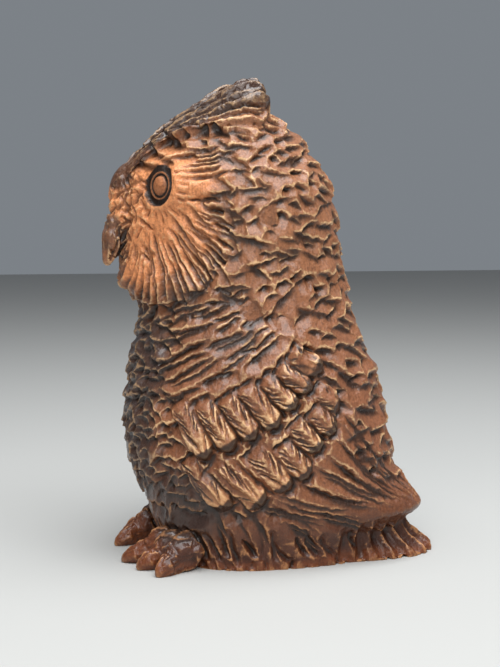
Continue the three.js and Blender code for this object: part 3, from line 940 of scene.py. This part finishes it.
# Short cuts ring the eye, and rough crossing cuts fill the space between the eyes and the beak.
EYE_CUTS = 26
EYE_CUTS_TOP = 256
EYE_NARROWED = 0.86  # the eye is turned from the side view, so the ring of cuts is narrower in it
ROUGH_CUTS = 60
for side in (1, -1):
    for angle in evenly(EYE_CUTS, 0, 2 * math.pi, -0.2, 0.2):
        direction = np.array([math.cos(angle) * EYE_NARROWED, math.sin(angle)])
        reaches = [EYE_RADIUS + vary(1, 2), EYE_RADIUS + vary(6, 10)]
        points = [EYE[1:] + direction * reach for reach in reaches]
        if points[1][1] < EYE_CUTS_TOP:
            gouge(flank_path(points, side), (3, 4.6), (1.4, 2.6), sharp=0.8)
    for _ in range(ROUGH_CUTS):
        start = [vary(2, 26), vary(192, 248)]
        lean = vary(-14, 14)
        path = round_path(start, [start[0] + lean, start[1] - vary(5, 12)], 0, 3)
        gouge(mirrored(path, side), (3, 6), (2.2, 3.8), run_out=0.2, sharp=0.7)


# The brows
# Long grooves run up the top of each brow to the tuft, whose end is split, and short slanting cuts mark the
# face under its outer edge.
BROW_GROOVES = [5.35, 5.7, 0.1, 0.45, 0.8, 1.4]
BROW_FRINGE = 17
FRINGE_TURNS = np.array([5.85, 5.4, 4.9]) / BROW_CORNERS
FRINGE_LEAN = np.array([0, 0.02, 0.045])
TUFT_START, TUFT_END = 0.72, 0.995
# Corner of the roof, width and depth of the cuts that split the end of a tuft into lobes.
TUFT_CUTS = [[0.35, 6, 4.5], [0.8, 7, 4], [1.5, 6, 4], [5.45, 8, 3], [4.9, 6, 2.5]]
for side in (1, -1):
    roof = roof_form(side)
    for place in BROW_GROOVES:
        for first in (0.03, 0.42):
            first += vary(-0.03, 0.08)
            last = min(first + vary(0.5, 0.62), 0.99)
            turn = (place + vary(-0.1, 0.1)) / BROW_CORNERS
            path = form_path(roof, (turn, first), (turn + vary(-0.02, 0.02), last), 7)
            gouge(path, (4.5, 6.5), (3.6, 5), run_out=0.15, sharp=0.9, dark=0.6)
    for k in range(BROW_FRINGE):
        share = 0.08 + 0.6 * k / BROW_FRINGE + vary(-0.01, 0.01)
        path = roof(FRINGE_TURNS, share - FRINGE_LEAN)
        gouge(path, (3.5, 5.5), (1.8, 3.2), run_in=0.15, run_out=0.5, sharp=0.7)
    for place, width, depth in TUFT_CUTS:
        turn = place / BROW_CORNERS
        path = form_path(roof, (turn, TUFT_START), (turn, TUFT_END))
        gouge(path, width, depth, run_in=0.6, run_out=0.02, sharp=0.7)


# Feet
# Three toes a side come out from under the belly. Each has a V-cut behind its claw, grooves down its sides,
# streaks along the claw and rough cuts across its top.
TOE_CUTS = 9
CLAW_STREAKS = 8
CLAW_START = 0.66
# Shares of the toe from and to which a side groove runs, its height and its width.
SIDE_GROOVES = [[0.4, 0.7, 13, 6], [0.5, 0.8, 9, 5]]
for side in (1, -1):
    for tip_x, tip_ahead in TOE_TIPS:
        tip = np.array([tip_x, -tip_ahead])
        root = np.array([ANKLE[0], -ANKLE[1]])
        way = unit(tip - root)
        aside = quarter_turn(way)
        nick = root + (tip - root) * CLAW_START
        path = [[*(nick + aside * 9), 5], [*(nick + way * 1.5), 17], [*(nick - aside * 9), 5]]
        gouge(mirrored(path, side), 4.5, 2.2, run_in=0.1, run_out=0.1, sharp=0.9)
        for _ in range(CLAW_STREAKS):
            start = root + (tip - root) * vary(0.68, 0.85) + aside * vary(-6, 6)
            path = [[*start, vary(6, 14)], [*(start * 0.25 + tip * 0.75), vary(3, 6)]]
            gouge(mirrored(path, side), (1.6, 2.6), (0.5, 1.1), sharp=1)
        for hand in (-1, 1):
            for first, last, z, width in SIDE_GROOVES:
                start = root + (tip - root) * first + aside * hand * vary(3.5, 5.5)
                end = root + (tip - root) * last + aside * hand * vary(1.2, 3)
                path = [[*start, z + vary(0, 3)], [*end, z * 0.7]]
                gouge(mirrored(path, side), width, (1.4, 2.6), run_out=0.1, sharp=0.9)
        for _ in range(TOE_CUTS):
            start = root + (tip - root) * vary(0.35, 0.9) + aside * vary(-6, 6)
            path = [[*start, 17], [*(start + way * vary(6, 11) + aside * vary(-3, 3)), 9]]
            gouge(mirrored(path, side), (2.5, 4.5), (1, 2.2), sharp=0.8)


# The tail
# Straight cuts mark the ends of the long feathers over the tail, and the skirt of the tail below them is
# fluted all round its back with a wide round gouge.
REAR_CUTS = 15
REAR_SPREAD = 72  # degrees round the back, as for the flutes
TAIL_FLUTES = 19
FLUTE_SPREAD = 170
for degrees in evenly(REAR_CUTS, 180 - REAR_SPREAD / 2, 180 + REAR_SPREAD / 2, 0.2, 0.8):
    lean = (degrees - 180) * 0.3
    path = round_path([degrees - lean, vary(46, 58)], [degrees, 33], vary(-1, 1))
    gouge(path, (5, 8), (2.2, 4.2), run_out=0.15, sharp=0.85)
for k in range(TAIL_FLUTES):
    turn = (180 + FLUTE_SPREAD * (k / (TAIL_FLUTES - 1) - 0.5)) / 360 + vary(-0.004, 0.004)
    path = form_path(tail_form, (turn, 0.85), (turn, 0.06), 7)
    gouge(path, (9, 11), (3.4, 4.6), run_in=0.35, run_out=0.02, sharp=0.1, dark=0.35)


# The base
# Below the wings the block is left as a plain skirt with long slanting cuts and a nibbled lower edge.
BASE_CUTS = 40
BASE_SPREAD = 248  # degrees round the front
for k in range(BASE_CUTS):
    degrees = BASE_SPREAD * (k / BASE_CUTS - 0.5) + vary(-2, 2)
    lean = 10 * math.sin(math.radians(degrees))
    top = vary(20, 32)
    path = round_path([degrees, top], [degrees + lean, vary(2, 9)], vary(-2, 2))
    gouge(path, (4, 8), (2.6, 4.8), run_out=0.2, sharp=0.85)
    path = round_path([degrees + 3, vary(5, 11)], [degrees + vary(3, 7), 0.2])
    gouge(path, (4, 10), (1.2, 3.4), run_in=0.5, run_out=0.02, sharp=0.5)


# The whole skin takes its cuts
# Each point of the skin moves in or out by what was taken away or left standing there. Then the beak, the
# knots and the eyes are finished.
offset = left_standing - taken_away

# The beak kept more of the stain than the face round it.
BEAK_REACH = 12
off_axis = np.hypot(spots[:, 0], side_ahead - BEAK[2][1])
bare *= 1 - ease((BEAK_REACH - off_axis) / 3) * ease((BEAK[0][2] - heights) / 6)

# Three knots in the wood were pared smooth: ahead and z on the left side, and radius.
KNOTS = [[13, 215, 6], [24, 159, 6], [3, 150, 5]]
knot = np.zeros(len(spots))
for ahead, z, radius in KNOTS:
    reach = np.hypot(side_ahead - ahead, side_z - z) / radius + (spots[:, 0] < 0) * 9
    smooth_part = 1 - ease((reach - 0.8) / 0.35)
    offset = offset * (1 - smooth_part) + offset[reach < 1].mean() * smooth_part
    stain_and_shade_caught *= 1 - smooth_part
    knot = np.maximum(knot, smooth_part)
carved = spots + normals * offset[:, None]
carved[:, 2] = np.maximum(carved[:, 2], 0)

# Eyes: a domed pupil in a ring, on a flat disc that is sunk a little inside its lid.
EYE_DISC = 12.4
EYE_LID = 18
ORBIT = 25  # the face is flattened round the eye out to this radius
LID_HEIGHT = 0.6
EYE_TURNED = math.radians(34)
EYE_TURN_UP = 0.06
EYE_PROFILE_RADII = [0, 3.0, 5.6, 6.4, 7.2, 7.7, 8.5, 9.0, 11.6, 12.4]
EYE_PROFILE_HEIGHTS = [2.6, 2.0, 0.2, -1.0, -1.0, 0.0, 0.0, -1.0, -1.2, -1.2]
eye_radius = np.full(len(spots), EYE_RADIUS * 2.0)
for side in (1, -1):
    gaze = unit(np.array([math.sin(EYE_TURNED) * side, -math.cos(EYE_TURNED), EYE_TURN_UP]))
    centre = np.array([EYE[0] * side, -EYE[1], EYE[2]])
    from_plane = (spots - centre) @ gaze
    from_middle = np.linalg.norm(spots - centre - from_plane[:, None] * gaze, axis=1)
    flatten = (1 - ease((from_middle - EYE_DISC) / (ORBIT - EYE_DISC))) * (np.abs(from_plane) < EYE_RADIUS)
    carved += ((LID_HEIGHT - from_plane) * flatten)[:, None] * gaze
    gap = carved - centre
    depth = gap @ gaze
    flat = gap - depth[:, None] * gaze
    radius = np.linalg.norm(flat, axis=1)
    near = (radius < EYE_LID) & (np.abs(depth) < EYE_RADIUS)
    eye_radius[near] = radius[near]
    near &= radius < EYE_DISC
    profile = np.interp(radius, EYE_PROFILE_RADII, EYE_PROFILE_HEIGHTS)
    carved[near] = (carved - (depth - profile)[:, None] * gaze)[near]

back_in_order = np.empty_like(carved)
back_in_order[by_height] = carved
mesh.vertices.foreach_set("co", (back_in_order * MM).ravel())
mesh.update()

# Crests and hollows are read from the cut surface, for the stain and the painted shade that lie in cuts and
# the stain that wears off edges.
cut_normals = read_vectors(mesh.vertex_normals, "vector", len(mesh.vertices))
softened = smooth_over(back_in_order, raw_links, 8)
crest = np.sum((back_in_order - softened) * cut_normals, axis=1)
softened = smooth_over(softened, raw_links, 80)
hollow = np.sum((softened - back_in_order) * raw_normals, axis=1)

# The stain was laid on thicker in some places: x, ahead, z, radius and amount.
STAINED = [
    [0, 99, 204, 18, 0.5],
    [0, 88, 120, 52, 0.9],
    [0, 88, 70, 48, 0.9],
    [40, 62, 38, 30, 0.8],
    [62, 45, 140, 36, 0.35],
    [34, 62, 168, 20, 0.5],
]
for ahead, edge_x, edge_z, ridge_x, ridge_z, *_ in BROW:
    reach = 7 + 0.9 * math.hypot(ridge_x - edge_x, ridge_z - edge_z)
    STAINED.append([(edge_x + 2 * ridge_x) / 3, ahead, (edge_z + 2 * ridge_z) / 3 + 2, reach, 1.0])
stain_spots = back_in_order * [1, -1, 1]
stain_spots[:, 0] = np.abs(stain_spots[:, 0])
stain = np.zeros(len(stain_spots))
for x, ahead, z, reach, amount in STAINED:
    distance = np.linalg.norm(stain_spots - [x, ahead, z], axis=1)
    stain = np.maximum(stain, amount * (1 - ease((distance / reach - 0.55) / 0.6)))
back_to_mesh = np.argsort(by_height)
skin_values = {
    "crest": crest,
    "hollow": hollow,
    "stain": stain,
    "stain_and_shade": stain_and_shade_caught[back_to_mesh],
    "eye_radius": eye_radius[back_to_mesh],
    "knot": knot[back_to_mesh],
    "rubbed": rubbed[back_to_mesh],
    "bare": bare[back_to_mesh],
}
for name, values in skin_values.items():
    mesh.attributes.new(name, "FLOAT", "POINT").data.foreach_set("value", values.astype(np.float32))

# The carving is made lighter, and its underside is kept flat.
TRIANGLES = 190000
lighter = carving.modifiers.new("lighter", "DECIMATE")
lighter.ratio = TRIANGLES / (2 * len(mesh.polygons))
settle(carving)
mesh = carving.data
final_spots = read_vectors(mesh.vertices, "co", len(mesh.vertices))
final_spots[:, 2] = np.maximum(final_spots[:, 2], 0)
mesh.vertices.foreach_set("co", final_spots.ravel())
mesh.update()
mesh.shade_smooth()


# Stain, painted shade and varnish
# The carving is stained brown and varnished. The stain lies dark where it was laid thick, the cuts are
# painted dark for the stain and the shade in them, and the stain is rubbed off the crests.
class Socket:
    """A value of the shader; sums and products of values add their Math nodes."""

    def __init__(self, link):
        self.link = link

    def _math(self, operation, first, second):
        return node("ShaderNodeMath", {"operation": operation}, [first, second])["Value"]

    def __add__(self, other):
        return self._math("ADD", self, other)

    def __radd__(self, other):
        return self._math("ADD", other, self)

    def __sub__(self, other):
        return self._math("SUBTRACT", self, other)

    def __rsub__(self, other):
        return self._math("SUBTRACT", other, self)

    def __mul__(self, other):
        return self._math("MULTIPLY", self, other)

    def __rmul__(self, other):
        return self._math("MULTIPLY", other, self)


def node(kind, settings, inputs):
    """Adds a node: its type, its settings, and the values or links of its sockets by name or number."""
    made = tree.nodes.new(kind)
    for name, value in settings.items():
        setattr(made, name, value)
    for key, value in inputs.items() if isinstance(inputs, dict) else enumerate(inputs):
        if isinstance(value, Socket):
            tree.links.new(value.link, made.inputs[key])
        else:
            made.inputs[key].default_value = value
    return {out.name: Socket(out) for out in made.outputs if out.enabled}


def between(value, low, high):
    """0 where value is at low, 1 where it is at high."""
    inputs = {"Value": value, "From Min": low, "From Max": high}
    return node("ShaderNodeMapRange", {"interpolation_type": "SMOOTHSTEP"}, inputs)["Result"]


def tint(amount, first, second):
    """A colour mixed from two, by an amount from 0 to 1. Sockets 6 and 7 are the two for colours."""
    return node("ShaderNodeMix", {"data_type": "RGBA"}, {0: amount, 6: first, 7: second})["Result"]


def attribute(name):
    """A value that the skin carries."""
    return node("ShaderNodeAttribute", {"attribute_name": name}, {})["Fac"]


def noise(at, size, detail):
    """Cloudy noise around 0.5 with features of the given size in metres."""
    return node("ShaderNodeTexNoise", {}, {"Vector": at, "Scale": 1 / size, "Detail": detail})["Fac"]


FACE_STAIN = (0.71, 0.268, 0.103, 1)
PALE_STAIN = (0.30, 0.120, 0.053, 1)
BROWN_STAIN = (0.24, 0.088, 0.038, 1)
RED_STAIN = (0.058, 0.014, 0.004, 1)
BASE_STAIN = (0.155, 0.040, 0.011, 1)
WORN = (0.68, 0.41, 0.205, 1)
FACE_CUT = (0.13, 0.043, 0.016, 1)
RUBBED = (0.46, 0.205, 0.085, 1)
WORN_BELOW = (0.42, 0.185, 0.070, 1)
CUT = (0.014, 0.006, 0.003, 1)
DARK = (0.030, 0.013, 0.008, 1)
# Metres between which one stain gives way to the next, in height or ahead.
PALE_ABOVE = (0.12, 0.27)
RED_BELOW = (0.07, 0.025)
CLAWS_AHEAD = (0.074, 0.082)
CLAWS_BELOW = (0.03, 0.02)
FOOT_BELOW = (0.015, 0.009)
WORN_PALE_ABOVE = (0.02, 0.075)
# Radii in mm between which the rings of the eye begin or end.
PUPIL_ENDS = (6.2, 5.4)
GROOVES_BEGIN, GROOVES_END = (5.2, 6.2), (13.4, 12.2)
RING_BEGINS, RING_ENDS = (7.2, 7.8), (8.9, 8.3)
LID_WEAR = (11, 19)
# Sizes of the clouds, blotches, grain, pores and flecks in the wood, in metres.
CLOUD, BLOTCH, GRAIN, PORE, FLECK = 0.035, 0.006, 0.0016, 0.0013, 0.0022
GRAIN_STRETCH = 0.14
RELIEF_DEPTH = 0.0016

wood = bpy.data.materials.new("stained_wood")
wood.use_nodes = True
tree = wood.node_tree
shader = tree.nodes["Principled BSDF"]
crest, hollow, stain, stain_and_shade, eye_radius, knot, rubbed, bare = (attribute(name) for name in skin_values)
place = node("ShaderNodeTexCoord", {}, {})["Object"]
along_grain = node("ShaderNodeMapping", {}, {"Vector": place, "Scale": (1, 1, GRAIN_STRETCH)})["Vector"]
apart = node("ShaderNodeSeparateXYZ", {}, {"Vector": place})
height = apart["Z"]
ahead = apart["Y"] * -1
clouds = noise(place, CLOUD, 4)
blotches = noise(place, BLOTCH, 4)
grain = noise(along_grain, GRAIN, 5)
pores = noise(place, PORE, 3)

# The stain is warm and fairly light on the head, browner below and red at the base.
color = tint(between(height + clouds * 0.1, *PALE_ABOVE), BROWN_STAIN, PALE_STAIN)
color = tint(bare, color, FACE_STAIN)
color = tint(between(height + clouds * 0.03, *RED_BELOW), color, RED_STAIN)
claws = between(ahead, *CLAWS_AHEAD) * between(height, *CLAWS_BELOW)
foot = between(height + clouds * 0.012, *FOOT_BELOW)
color = tint(claws + foot - claws * foot, color, BASE_STAIN)
color = tint(between(grain + pores, 0.85, 1.35) * 0.45, color, RED_STAIN)
color = tint(between(noise(place, FLECK, 3), 0.45, 0.7) * 0.3, color, RED_STAIN)

# It is darker where it was laid thick, and the hollows and the cuts are painted darker for the stain and the
# shade in them.
color = tint(between(stain + blotches * 0.7, 0.45, 1.2) * 0.9, color, DARK)
color = tint(between(hollow + blotches * 0.8, 0.9, 2.6) * 0.75, color, CUT)
color = tint(bare * between(stain_and_shade, 0.15, 0.7) * 0.55, color, FACE_CUT)

# Crests and the long feathers' ends are rubbed pale in patches, and the bottoms of the cuts are painted
# black for the stain and the shade in them.
patchy = blotches * 0.9 + clouds * 0.7 + pores * 0.4
color = tint(rubbed * between(patchy, 0.6, 1.1) * 0.7, color, RUBBED)
edges = between(crest + pores * 0.3 + rubbed * 0.2, 0.26, 0.66) * between(patchy, 0.75, 1.1)
worn = edges * between(eye_radius, *LID_WEAR) * (1 - 0.3 * bare)
color = tint(worn * (1 - 0.6 * stain), color, tint(between(height, *WORN_PALE_ABOVE), WORN_BELOW, WORN))
color = tint(between(stain_and_shade + blotches * 0.35, 0.5, 1.05) * (0.85 - 0.4 * bare), color, CUT)
color = tint(knot * between(blotches, 0.35, 0.7) * 0.3, color, DARK)

# The grooves of the eye are black round its brown ring and its reddish pupil.
eye_dark = between(eye_radius, *GROOVES_BEGIN) * between(eye_radius, *GROOVES_END)
eye_ring = between(eye_radius, *RING_BEGINS) * between(eye_radius, *RING_ENDS)
color = tint(eye_dark * (1 - 0.45 * eye_ring), color, CUT)
color = tint(between(eye_radius, *PUPIL_ENDS) * 0.5, color, RED_STAIN)

# The varnish is glossier where there is more stain, and the grain shows through it.
bumps = grain * 0.6 + pores * 0.4 + blotches * 0.8
bump_inputs = {"Height": bumps, "Strength": 0.8, "Distance": RELIEF_DEPTH}
relief = node("ShaderNodeBump", {}, bump_inputs)["Normal"]
tree.links.new(color.link, shader.inputs["Base Color"])
tree.links.new(relief.link, shader.inputs["Normal"])
tree.links.new((0.32 + 0.2 * blotches + worn * 0.12).link, shader.inputs["Roughness"])
shader.inputs["Specular IOR Level"].default_value = 0.3
tree.links.new((0.35 + 0.4 * stain - 0.2 * bare).link, shader.inputs["Coat Weight"])
shader.inputs["Coat Roughness"].default_value = 0.15
mesh.materials.clear()
mesh.materials.append(wood)

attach(carving, "root")
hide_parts("owl")


# Floor, light and camera
# A plain pale floor under an open, even sky, seen from the owl's left at the height of its head.
floor_mesh = bpy.data.meshes.new("floor")
floor_shape = bmesh.new()
bmesh.ops.create_grid(floor_shape, x_segments=1, y_segments=1, size=4)
floor_shape.to_mesh(floor_mesh)
floor_shape.free()
floor = bpy.data.objects.new("floor", floor_mesh)
bpy.context.collection.objects.link(floor)
pale = bpy.data.materials.new("pale_floor")
pale.use_nodes = True
pale_inputs = pale.node_tree.nodes["Principled BSDF"].inputs
pale_inputs["Base Color"].default_value = (0.42, 0.41, 0.39, 1)
pale_inputs["Roughness"].default_value = 0.8
floor_mesh.materials.append(pale)

world = bpy.context.scene.world or bpy.data.worlds.new("sky")
bpy.context.scene.world = world
world.use_nodes = True
sky_inputs = world.node_tree.nodes["Background"].inputs
sky_inputs["Color"].default_value = (0.75, 0.82, 0.9, 1)
sky_inputs["Strength"].default_value = 0.27

LIGHTS_AIM = (0, 0, 0.15)


def area_light(name, place, size, power, color):
    """A square light that shines on the middle of the carving."""
    lamp = bpy.data.lights.new(name, "AREA")
    lamp.size = size
    lamp.energy = power
    lamp.color = color
    holder = bpy.data.objects.new(name, lamp)
    holder.location = place
    holder.rotation_euler = (Vector(LIGHTS_AIM) - Vector(place)).to_track_quat("-Z", "Y").to_euler()
    bpy.context.collection.objects.link(holder)


area_light("sky", place=(0.45, 0.1, 1.5), size=1.6, power=55, color=(0.93, 0.97, 1))
area_light("near sky", place=(1.3, -0.5, 0.75), size=0.9, power=7.5, color=(1, 0.98, 0.95))
bpy.context.scene.view_settings.view_transform = "Standard"

CAMERA_PLACE = (0.8172, -0.1860, 0.2163)
CAMERA_LENS = 70.2
AIM_TURN = math.radians(12)
AIM_DOWN = math.radians(5.21)
camera_data = bpy.data.cameras.new("camera")
camera_data.lens = CAMERA_LENS
camera_data.sensor_fit = "VERTICAL"
camera_data.sensor_height = 36
camera = bpy.data.objects.new("camera", camera_data)
camera.location = CAMERA_PLACE
level = math.cos(AIM_DOWN)
look = Vector((-math.cos(AIM_TURN) * level, math.sin(AIM_TURN) * level, -math.sin(AIM_DOWN)))
camera.rotation_euler = look.to_track_quat("-Z", "Y").to_euler()
bpy.context.collection.objects.link(camera)
bpy.context.scene.camera = camera
